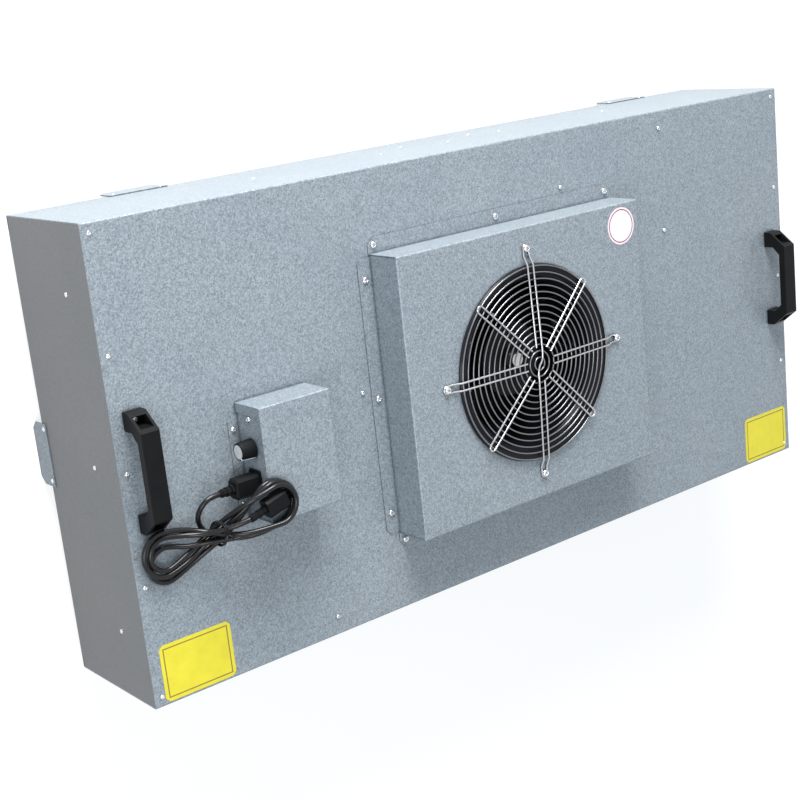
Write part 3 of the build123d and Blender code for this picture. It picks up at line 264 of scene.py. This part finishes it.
RUBBER = plastic("gasket_rubber", (0.05, 0.05, 0.05), 0.85, grain=1500.0, depth=0.0003)
TIE = plastic("tie_wrap", (0.012, 0.012, 0.013), 0.35)
PAPER = pleated_paper()
YELLOW = label_vinyl("label_yellow", (0.73, 0.62, 0.030))
WHITE = label_vinyl("label_white", (0.83, 0.84, 0.86))
KNOB_GREY = plastic("knob_grey", (0.50, 0.52, 0.53), 0.32, shine=0.4)

SLOT_MATERIALS = {
    "zinc_sheet": ZINC,
    "bright_wire": WIRE,
    "zinc_screws": SCREW,
    "black_moulding": BLACK,
    "fan_black": FAN_BLACK,
    "bright_cap": CAP,
    "filter_paper": PAPER,
    "filter_alloy": ALLOY,
    "gasket_rubber": RUBBER,
    "cord_pvc": CORD,
    "tie_wrap": TIE,
    "label_yellow": YELLOW,
    "label_white": WHITE,
    "knob_grey": KNOB_GREY,
}
SMOOTH_ANGLE = radians(32)


def dress_frame():
    """Give every CAD node the material of its slot and smooth its curved faces."""
    for part in frame["record"]["subparts"]:
        node = nodes[part["node"]]
        node.data.materials.clear()
        node.data.materials.append(SLOT_MATERIALS[part["material_slot"]])
        node.data.polygons.foreach_set("use_smooth", [True] * len(node.data.polygons))
        node.data.set_sharp_from_angle(angle=SMOOTH_ANGLE)
    nodes["inlet_ring"].data.materials[0] = RING_BLACK
    # The end panels take the darker zinc copy, which holds painted shade.
    for name in ("end_panel_left", "end_panel_right"):
        nodes[name].data.materials[0] = ZINC_END_SHADED


# ---------------------------------------------------------------- mesh helpers
def add_piece(name, mesh, material, replaced, body="case"):
    piece = bpy.data.objects.new(name, mesh)
    bpy.context.scene.collection.objects.link(piece)
    mesh.materials.append(material)
    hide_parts(*replaced)
    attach(piece, body)
    return piece


def finish_mesh(name, builder, smooth_angle=SMOOTH_ANGLE):
    """Turn a bmesh into a mesh with smooth curved faces."""
    bmesh.ops.recalc_face_normals(builder, faces=builder.faces)
    mesh = bpy.data.meshes.new(name)
    builder.to_mesh(mesh)
    builder.free()
    mesh.polygons.foreach_set("use_smooth", [True] * len(mesh.polygons))
    mesh.set_sharp_from_angle(angle=smooth_angle)
    return mesh


def turn_to(axis):
    """Rotation that takes +Z to an axis."""
    return Vector(axis).normalized().to_track_quat("Z", "Y").to_matrix().to_4x4()


def round_point(radius, share, height):
    """A point at a share of a full turn."""
    return Vector((radius * cos(2 * pi * share), radius * sin(2 * pi * share), height))


def lathe(builder, profile, place, sides):
    """Revolve (radius, height) points about the local Z of a placing matrix."""
    rows = []
    for radius, height in profile:
        if radius < 1e-7:
            rows.append([builder.verts.new(place @ Vector((0, 0, height)))])
            continue
        row = [round_point(radius, i / sides, height) for i in range(sides)]
        rows.append([builder.verts.new(place @ point) for point in row])
    for low, high in zip(rows, rows[1:]):
        for i in range(sides):
            j = (i + 1) % sides
            ring = [low[i % len(low)], low[j % len(low)], high[j % len(high)], high[i % len(high)]]
            face = list(dict.fromkeys(ring))
            if len(face) > 2:
                builder.faces.new(face)


def islands(node):
    """Lowest and highest corners of each separate solid in a CAD node."""
    builder = bmesh.new()
    builder.from_mesh(nodes[node].data)
    bmesh.ops.remove_doubles(builder, verts=builder.verts, dist=1e-6)
    left = set(builder.verts)
    found = []
    while left:
        reached = {left.pop()}
        front = set(reached)
        while front:
            front = {e.other_vert(v) for v in front for e in v.link_edges} - reached
            reached |= front
        left -= reached
        low = Vector([min(v.co[k] for v in reached) for k in range(3)])
        high = Vector([max(v.co[k] for v in reached) for k in range(3)])
        found.append((low, high))
    builder.free()
    return sorted(found, key=lambda pair: tuple(round(c, 5) for c in pair[0]))


UP_AXIS = 2


def head_places(node):
    """Foot, outward axis, radius and height of each small head in a CAD node."""
    places = []
    for low, high in islands(node):
        size = high - low
        across = min(range(3), key=lambda k: size[k])
        axis = Vector((0, 0, 0))
        middle = (low + high) / 2
        axis[across] = -1.0 if across != UP_AXIS and middle[across] < 0 else 1.0
        foot = middle - axis * size[across] / 2
        radius = max(size[k] for k in range(3) if k != across) / 2
        places.append((foot, axis, radius, size[across]))
    return places


# Half section of a domed rivet with its dimple, as shares of its radius and height.
RIVET_SHAPE = (
    (0.0, 0.62), (0.16, 0.60), (0.22, 0.80), (0.34, 0.98),
    (0.6, 0.88), (0.84, 0.56), (1.0, 0.18), (1.0, 0.0),
)
RIVET_SIDES = 24
PAN_SIDES = 40
PAN_RINGS = 16
PAN_FALL = 0.86
PAN_SEED = 7
PAN_SMOOTH = radians(50)
RIVET_SMOOTH = radians(60)
RECESS_LENGTH = 0.52
RECESS_WIDTH = 0.13
RECESS_DEPTH = 0.55
RECESS_END = 0.12
RECESS_WALL = 0.05


def add_rivets(node, name):
    builder = bmesh.new()
    for foot, axis, radius, height in head_places(node):
        profile = [(r * radius, h * height) for r, h in RIVET_SHAPE]
        lathe(builder, profile, Matrix.Translation(foot) @ turn_to(axis), RIVET_SIDES)
    return add_piece(name, finish_mesh(name, builder, RIVET_SMOOTH), SCREW, (node,))


def cross_recess(x, y):
    """How far a point on a unit screw head sinks into the cross recess, from 0 to 1."""
    def groove(along, across):
        reach = max(0.0, min(1.0, (RECESS_LENGTH - abs(along)) / RECESS_END))
        side = max(0.0, min(1.0, (RECESS_WIDTH - abs(across)) / RECESS_WALL))
        return reach * side
    return max(groove(x, y), groove(y, x))


def add_pan_heads(node, name):
    """Pan heads with a cross recess, each turned its own way."""
    rng = random.Random(PAN_SEED)
    builder = bmesh.new()
    for foot, axis, radius, height in head_places(node):
        place = Matrix.Translation(foot) @ turn_to(axis) @ Matrix.Rotation(rng.uniform(0, pi), 4, "Z")
        rows = []
        for ring in range(PAN_RINGS + 1):
            reach = ring / PAN_RINGS
            dome = sqrt(1 - PAN_FALL * reach ** 3)
            row = []
            for i in range(PAN_SIDES if ring else 1):
                spot = round_point(reach, i / PAN_SIDES, 0.0)
                level = height * (dome - RECESS_DEPTH * cross_recess(spot.x, spot.y))
                row.append(builder.verts.new(place @ Vector((spot.x * radius, spot.y * radius, level))))
            rows.append(row)
        rows.append([
            builder.verts.new(place @ round_point(radius, i / PAN_SIDES, 0.0)) for i in range(PAN_SIDES)
        ])
        for low, high in zip(rows, rows[1:]):
            for i in range(PAN_SIDES):
                j = (i + 1) % PAN_SIDES
                corners = [low[i % len(low)], low[j % len(low)], high[j], high[i]]
                builder.faces.new(list(dict.fromkeys(corners)))
    return add_piece(name, finish_mesh(name, builder, PAN_SMOOTH), SCREW, (node,))


WIRE_BEVEL = 4
SPLINE_STEPS = 8


def wire_piece(name, paths, radius, material, replaced, cyclic=False, order=None):
    """Round wires along lists of points: straight between them, or a spline where an order is given."""
    curve = bpy.data.curves.new(name, "CURVE")
    curve.dimensions = "3D"
    curve.bevel_depth = radius
    curve.bevel_resolution = WIRE_BEVEL
    curve.use_fill_caps = True
    for path in paths:
        spline = curve.splines.new("NURBS" if order else "POLY")
        spline.points.add(len(path) - 1)
        for point, place in zip(spline.points, path):
            point.co = (*place, 1)
        if order:
            spline.order_u = order
            spline.use_endpoint_u = not cyclic
            spline.resolution_u = SPLINE_STEPS
        spline.use_cyclic_u = cyclic
    curve.materials.append(material)
    piece = bpy.data.objects.new(name, curve)
    bpy.context.scene.collection.objects.link(piece)
    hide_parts(*replaced)
    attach(piece, "case")
    return piece


# ---------------------------------------------------------------- finger guard
FAN_PLACE = Vector((0.0030, 0.0005, 0.0))
RING_COUNT = 15
RING_STEP = 0.0086
RING_WIRE = 0.0022
RING_WIRE_SHARE = 0.46
ARM_WIRE = 0.0026
ARM_SINK = 0.0002
GUARD_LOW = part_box("guard_rings")[0].z
GUARD_DOME = 0.005
GUARD_HEAD_RADIUS = 0.153
ARM_HALF_PITCH = 0.0049
ARM_START = 0.023
ARM_KNEE = 0.132
ARM_FOOT = 0.143
SHORT_LOOP = 0.1288
LOOP_TURNS = 10
RING_SEGMENTS = 84
# Half of the wire that crosses the middle in a small swirl, as (across, along) in ring steps.
SWIRL = ((0.57, 2.67), (0.57, 1.5), (0.50, 0.9), (0.28, 0.35), (0.0, 0.0))


def guard_level(radius):
    """Underside of the guard's rings: a shallow cone that rises to the middle."""
    return GUARD_LOW + GUARD_DOME * (1 - radius / (RING_COUNT * RING_STEP))


def arm_level(radius):
    """Middle of an arm's wire where it lies on the rings."""
    return guard_level(radius) + RING_WIRE - ARM_SINK + ARM_WIRE / 2


def arm_path(knee, foot, loop, spin):
    """One double wire of the guard: out along the rings, round its end and back."""
    side = [(ARM_START, ARM_HALF_PITCH, arm_level(ARM_START)), (knee, ARM_HALF_PITCH, arm_level(knee))]
    end_level = arm_level(knee)
    if foot:
        end_level = HOOD_TOP + ARM_WIRE / 2
        side.append((foot, ARM_HALF_PITCH, end_level))
    for step in range(1, LOOP_TURNS):
        angle = pi / 2 - pi * step / LOOP_TURNS
        side.append((loop + ARM_HALF_PITCH * cos(angle), ARM_HALF_PITCH * sin(angle), end_level))
    if foot:
        side.append((foot, -ARM_HALF_PITCH, end_level))
    side.append((knee, -ARM_HALF_PITCH, arm_level(knee)))
    side.append((ARM_START, -ARM_HALF_PITCH, arm_level(ARM_START)))
    turn = Matrix.Rotation(spin, 4, "Z")
    return [FAN_PLACE + turn @ Vector(point) for point in side]


def add_guard():
    rings = []
    for index in range(1, RING_COUNT + 1):
        radius = index * RING_STEP
        level = guard_level(radius) + RING_WIRE / 2
        circle = [round_point(radius, k / RING_SEGMENTS, level) for k in range(RING_SEGMENTS)]
        rings.append([FAN_PLACE + point for point in circle])
    ring_radius = RING_WIRE_SHARE * RING_WIRE
    wire_piece("guard_rings_round", rings, ring_radius, WIRE, ("guard_rings",), cyclic=True)
    arms = [arm_path(ARM_KNEE, ARM_FOOT, GUARD_HEAD_RADIUS, k * pi / 2) for k in range(4)]
    arms += [arm_path(SHORT_LOOP, None, SHORT_LOOP, k * pi / 2 + pi / 4) for k in range(4)]
    level = arm_level(ARM_START)
    half = [Vector((across * RING_STEP, along * RING_STEP, level)) for across, along in SWIRL]
    swirl = half + [Vector((-p.x, -p.y, level)) for p in reversed(half[:-1])]
    arms.append([FAN_PLACE + point for point in swirl])
    wire_piece("guard_arms_round", arms, ARM_WIRE / 2, ARM, ("guard_arms",))


# ---------------------------------------------------------------- mains lead
CORD_DIAMETER = 0.0065
LEAD_ROUTE = (
    (-0.4780, -0.0470, 0.2340),
    (-0.4915, -0.0470, 0.2340),
    (-0.5024, -0.0549, 0.2315),
    (-0.5066, -0.0678, 0.2255),
    (-0.5025, -0.0815, 0.2195),
)
RAMP_FOOT_X = -0.515
RAMP_HEAD_X = -0.436
RAMP_RISE = BOX_TOP - PLATE_TOP
LAY_GAP = 0.0008
ARC_STEPS = 8
ARC_SWELL = 1.012
# The hank's strands, in millimetres of plan and cord layers above what they lie on. A fold is one end
# of a turn: its middle, radius, first and last angle, and layers at its start, middle and end.
# A run is the points between two folds, by way of the tie.
RUN_IN = ((-495.5, -92.5, 0.0), (-484.0, -100.0, -0.1), (-468.0, -101.5, 0.0), (-450.0, -99.5, 0.0))
FOLDS_AND_RUNS = (
    ("fold", -426.0, -67.5, 27.0, -80, 125, (0.0, 0.0, 0.0)),
    ("run", (-467.0, -78.0, 0.35), (-485.0, -98.0, 0.95), (-502.0, -114.5, 0.7)),
    ("fold", -548.0, -117.0, 21.5, -62, -288, (0.0, 0.0, 0.2)),
    ("run", (-520.0, -101.0, 1.7), (-504.0, -99.5, 2.1), (-489.0, -98.5, 2.05), (-470.0, -95.5, 1.65)),
    ("fold", -425.5, -66.5, 26.0, -85, 122, (1.02, 1.02, 1.02)),
    ("run", (-467.0, -68.0, 1.1), (-485.0, -88.0, 1.0), (-502.0, -104.5, 1.0), (-519.0, -118.5, 1.05)),
    ("fold", -552.0, -101.5, 26.6, -80, -272, (1.05, 0.98, 1.1)),
    ("run", (-528.0, -78.0, 1.4), (-508.0, -84.5, 1.95), (-489.0, -91.0, 2.0), (-468.0, -92.5, 2.15)),
    ("fold", -426.0, -66.5, 23.6, -88, 118, (2.05, 2.05, 2.05)),
    ("run", (-460.0, -54.0, 1.95), (-472.0, -64.0, 1.5), (-485.0, -78.0, 1.05), (-500.0, -94.0, 1.0),
     (-514.0, -106.5, 1.05)),
    ("fold", -551.0, -101.5, 19.8, -70, -285, (1.08, 1.05, 1.15)),
    ("run", (-524.0, -85.5, 1.9), (-507.0, -87.5, 3.15), (-489.0, -83.0, 3.1)),
)
PLUG_END = ((-0.4740, -0.0785, 0.2650), (-0.4622, -0.0752, 0.2690))


def lay_share(x):
    return max(0.0, min(1.0, (x - RAMP_FOOT_X) / (RAMP_HEAD_X - RAMP_FOOT_X)))


def lay_level(x):
    """Height of the surface that the hank lies on: the plate, the climb, then the box top."""
    share = lay_share(x)
    return PLATE_TOP + RAMP_RISE * share * share * (3 - 2 * share)


def cord_point(x, y, layer):
    """A point of the hank, lifted square to the slope that it lies on."""
    x, y = x * MM, y * MM
    share = lay_share(x)
    slope = 6 * share * (1 - share) * RAMP_RISE / (RAMP_HEAD_X - RAMP_FOOT_X)
    return (x, y, lay_level(x) + (LAY_GAP + CORD_DIAMETER * (0.5 + layer)) * sqrt(1 + slope * slope))


def fold_points(middle_x, middle_y, radius, start, end, layers):
    """Points round one fold, with its layers blended."""
    points = []
    first, middle, last = layers
    for step in range(ARC_STEPS + 1):
        share = step / ARC_STEPS
        angle = radians(start + (end - start) * share)
        if share < 0.5:
            layer = first + (middle - first) * 2 * share
        else:
            layer = middle + (last - middle) * (2 * share - 1)
        reach = radius * ARC_SWELL
        points.append(cord_point(middle_x + reach * cos(angle), middle_y + reach * sin(angle), layer))
    return points


def hank_route():
    route = list(LEAD_ROUTE) + [cord_point(*point) for point in RUN_IN]
    for kind, *values in FOLDS_AND_RUNS:
        route += fold_points(*values) if kind == "fold" else [cord_point(*point) for point in values]
    return route + list(PLUG_END)


def add_cord():
    replaced = ("cord_lead", "cord_hank")
    wire_piece("mains_lead", [hank_route()], CORD_DIAMETER / 2, CORD, replaced, order=3)


TIE_X = -0.4890
TIE_WIRE = 0.0011
TIE_SHIFT = 0.0013
# Points round the waist of the hank, as (y, z).
TIE_ROUND = (
    (-0.0975, 0.2198), (-0.1035, 0.2265), (-0.1060, 0.2360), (-0.1045, 0.2460),
    (-0.0970, 0.2525), (-0.0870, 0.2588), (-0.0785, 0.2585), (-0.0765, 0.2500),
    (-0.0762, 0.2360), (-0.0800, 0.2290), (-0.0905, 0.2203),
)
TIE_TAILS = (
    (
        (-0.4890, -0.0890, 0.2575), (-0.4900, -0.0895, 0.2600),
        (-0.4925, -0.0915, 0.2615), (-0.4955, -0.0935, 0.2610),
    ),
    (
        (-0.4880, -0.0890, 0.2575), (-0.4870, -0.0895, 0.2600),
        (-0.4850, -0.0920, 0.2615), (-0.4830, -0.0955, 0.2605),
    ),
)


def add_tie():
    """A twist tie: two turns of covered wire round the waist, and its twisted tails."""
    loops = []
    for shift in (-TIE_SHIFT, TIE_SHIFT):
        ring = [(TIE_X + shift, y, z) for y, z in TIE_ROUND]
        loops.append(ring + ring[:2])
    wire_piece("tie_twist", [*loops, *TIE_TAILS], TIE_WIRE, TIE, ("cord_tie",), order=3)


# ---------------------------------------------------------------- knob
KNOB_LOW, KNOB_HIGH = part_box("speed_knob")
KNOB_AXIS = Vector((KNOB_HIGH.x, (KNOB_LOW.y + KNOB_HIGH.y) / 2, (KNOB_LOW.z + KNOB_HIGH.z) / 2))
KNOB_RIBS = 36
KNOB_STEPS = 5
KNOB_RIB_DEPTH = 0.0004
# Half section of the knob, as radius and height over the panel: outside, then back through its hollow.
KNOB_OUTSIDE = (
    (0.0120, 0.0), (0.0120, 0.0012), (0.0112, 0.0150), (0.0108, 0.0180), (0.0103, 0.0187), (0.0098, 0.0190),
)
KNOB_INSIDE = (
    (0.0087, 0.0190), (0.0087, 0.0180), (0.0031, 0.0180), (0.0031, 0.0092), (0.0085, 0.0092), (0.0085, 0.0),
)
RIBBED_ROWS = (1, 2)


def add_knob():
    """The turned knob with its ribbed skirt, hollow over the nut and seated for the cap."""
    place = Matrix.Translation(KNOB_AXIS) @ turn_to((-1, 0, 0))
    sides = KNOB_RIBS * KNOB_STEPS
    builder = bmesh.new()
    rows = []
    for index, (radius, height) in enumerate(KNOB_OUTSIDE + KNOB_INSIDE):
        depth = KNOB_RIB_DEPTH if index in RIBBED_ROWS else 0.0
        row = []
        for k in range(sides):
            dip = depth * (0.5 - 0.5 * cos(2 * pi * k / KNOB_STEPS))
            row.append(builder.verts.new(place @ round_point(radius - dip, k / sides, height)))
        rows.append(row)
    for low, high in zip(rows, rows[1:] + rows[:1]):
        for k in range(sides):
            j = (k + 1) % sides
            builder.faces.new((low[k], low[j], high[j], high[k]))
    mesh = finish_mesh("speed_knob_ribbed", builder)
    add_piece("speed_knob_ribbed", mesh, BLACK, ("speed_knob",), "knob")


# ---------------------------------------------------------------- labels
BORDER_INSET = 0.0044
BORDER_WIDTH = 0.0016
STICKER_RING_INSET = 0.0042
STICKER_RING_WIDTH = 0.0016
STICKER_RIM = 0.0012


def label_with_border(node, name):
    """Yellow field with a thin brown line set in from its edge, worked out from the sticker's box."""
    low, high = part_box(node)
    s = Shader(name)
    place = s.node("SeparateXYZ", {"Vector": s.coords})
    gaps = []
    for axis in (0, 1):
        middle, half = (low[axis] + high[axis]) / 2, (high[axis] - low[axis]) / 2
        away = s.math("ABSOLUTE", s.math("SUBTRACT", place.outputs[axis], middle))
        gaps.append(s.math("SUBTRACT", half, away))
    inset = s.math("MINIMUM", *gaps)
    line = s.math(
        "MULTIPLY",
        s.math("GREATER_THAN", inset, BORDER_INSET),
        s.math("LESS_THAN", inset, BORDER_INSET + BORDER_WIDTH),
    )
    soil = s.noise(60.0, 3.0)
    field = s.ramp(soil, (0.3, (0.60, 0.52, 0.026)), (0.7, (0.66, 0.57, 0.030)))
    s.set(Base_Color=s.mix(line, field, (0.22, 0.15, 0.03, 1)), Roughness=s.span(soil, 0.38, 0.5))
    s.bump(s.noise(500.0, 2.0), 0.00004, 0.3)
    nodes[node].data.materials[0] = s.material


def round_sticker():
    """White disc with a thin dark red ring and a pinkish rim."""
    low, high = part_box("round_label")
    s = Shader("round_sticker")
    place = s.node("SeparateXYZ", {"Vector": s.coords})
    away_x = s.math("SUBTRACT", place.outputs[0], (low.x + high.x) / 2)
    away_y = s.math("SUBTRACT", place.outputs[1], (low.y + high.y) / 2)
    square_x = s.math("MULTIPLY", away_x, away_x)
    square_y = s.math("MULTIPLY", away_y, away_y)
    reach = s.math("SQRT", s.math("ADD", square_x, square_y))
    edge = (high.x - low.x) / 2
    ring = s.math(
        "MULTIPLY",
        s.math("GREATER_THAN", reach, edge - STICKER_RING_INSET),
        s.math("LESS_THAN", reach, edge - STICKER_RING_INSET + STICKER_RING_WIDTH),
    )
    rim = s.math("GREATER_THAN", reach, edge - STICKER_RIM)
    soil = s.noise(60.0, 3.0)
    field = s.ramp(soil, (0.3, (0.66, 0.68, 0.72)), (0.7, (0.72, 0.74, 0.77)))
    ringed = s.mix(ring, field, (0.30, 0.045, 0.06, 1))
    s.set(Base_Color=s.mix(rim, ringed, (0.72, 0.50, 0.52, 1)), Roughness=s.span(soil, 0.32, 0.42))
    s.bump(s.noise(500.0, 2.0), 0.00004, 0.3)
    nodes["round_label"].data.materials[0] = s.material


# ---------------------------------------------------------------- stage
SKY_LIGHT = (0.46, 0.53, 0.60, 1)
FLOOR_HALF = 12.0
FLOOR_COLOUR = (0.34, 0.34, 0.34, 1)
FLOOR_GLOW = (0.74, 0.74, 0.74, 1)
KEY = {"place": (-0.5, 3.4, 1.4), "target": (0, 0, 0.1), "size": 2.2, "power": 335}
FILL = {"place": (-1.7, -0.3, 1.9), "target": (-0.2, 0, 0.15), "size": 1.0, "power": 20}


def add_light(name, place, target, size, power):
    data = bpy.data.lights.new(name, "AREA")
    data.shape = "DISK"
    data.size = size
    data.energy = power
    light = bpy.data.objects.new(name, data)
    aim = (Vector(target) - Vector(place)).to_track_quat("-Z", "Y")
    light.matrix_world = Matrix.Translation(place) @ aim.to_matrix().to_4x4()
    bpy.context.scene.collection.objects.link(light)


def background_share(tree):
    """1 for rays that should meet the plain white background."""
    path = tree.nodes.new("ShaderNodeLightPath")
    total = None
    for output in ("Is Camera Ray", "Is Glossy Ray", "Is Transmission Ray"):
        if total is None:
            total = path.outputs[output]
            continue
        joined = tree.nodes.new("ShaderNodeMath")
        joined.operation = "MAXIMUM"
        tree.links.new(total, joined.inputs[0])
        tree.links.new(path.outputs[output], joined.inputs[1])
        total = joined.outputs[0]
    return total


def add_stage():
    world = bpy.data.worlds.new("studio")
    world.use_nodes = True
    bpy.context.scene.world = world
    tree = world.node_tree
    background = tree.nodes["Background"]
    mix = tree.nodes.new("ShaderNodeMix")
    mix.data_type = "RGBA"
    tree.links.new(background_share(tree), mix.inputs[0])
    mix.inputs[6].default_value = SKY_LIGHT
    mix.inputs[7].default_value = (1, 1, 1, 1)
    tree.links.new(mix.outputs[2], background.inputs["Color"])

    half = FLOOR_HALF
    corners = [(-half, -half, 0), (half, -half, 0), (half, half, 0), (-half, half, 0)]
    mesh = bpy.data.meshes.new("floor")
    mesh.from_pydata(corners, [], [(0, 1, 2, 3)])
    floor = bpy.data.objects.new("floor", mesh)
    bpy.context.scene.collection.objects.link(floor)
    material = bpy.data.materials.new("floor")
    material.use_nodes = True
    tree = material.node_tree
    tree.nodes.clear()
    diffuse = tree.nodes.new("ShaderNodeBsdfDiffuse")
    diffuse.inputs["Color"].default_value = FLOOR_COLOUR
    glow = tree.nodes.new("ShaderNodeEmission")
    tree.links.new(background_share(tree), glow.inputs["Strength"])
    glow.inputs["Color"].default_value = FLOOR_GLOW
    total = tree.nodes.new("ShaderNodeAddShader")
    output = tree.nodes.new("ShaderNodeOutputMaterial")
    tree.links.new(diffuse.outputs[0], total.inputs[0])
    tree.links.new(glow.outputs[0], total.inputs[1])
    tree.links.new(total.outputs[0], output.inputs["Surface"])
    mesh.materials.append(material)

    add_light("key", **KEY)
    add_light("fill", **FILL)


add_camera()
dress_frame()
label_with_border("label_left", "label_left_print")
label_with_border("label_right", "label_right_print")
round_sticker()
add_guard()
add_cord()
add_tie()
add_knob()
for node in ("end_rivets", "side_rivets", "lug_screws"):
    add_rivets(node, node + "_domed")
for node in ("hood_screws", "guard_screws", "box_screws", "handle_screws", "plate_screws"):
    add_pan_heads(node, node + "_cross")
add_stage()
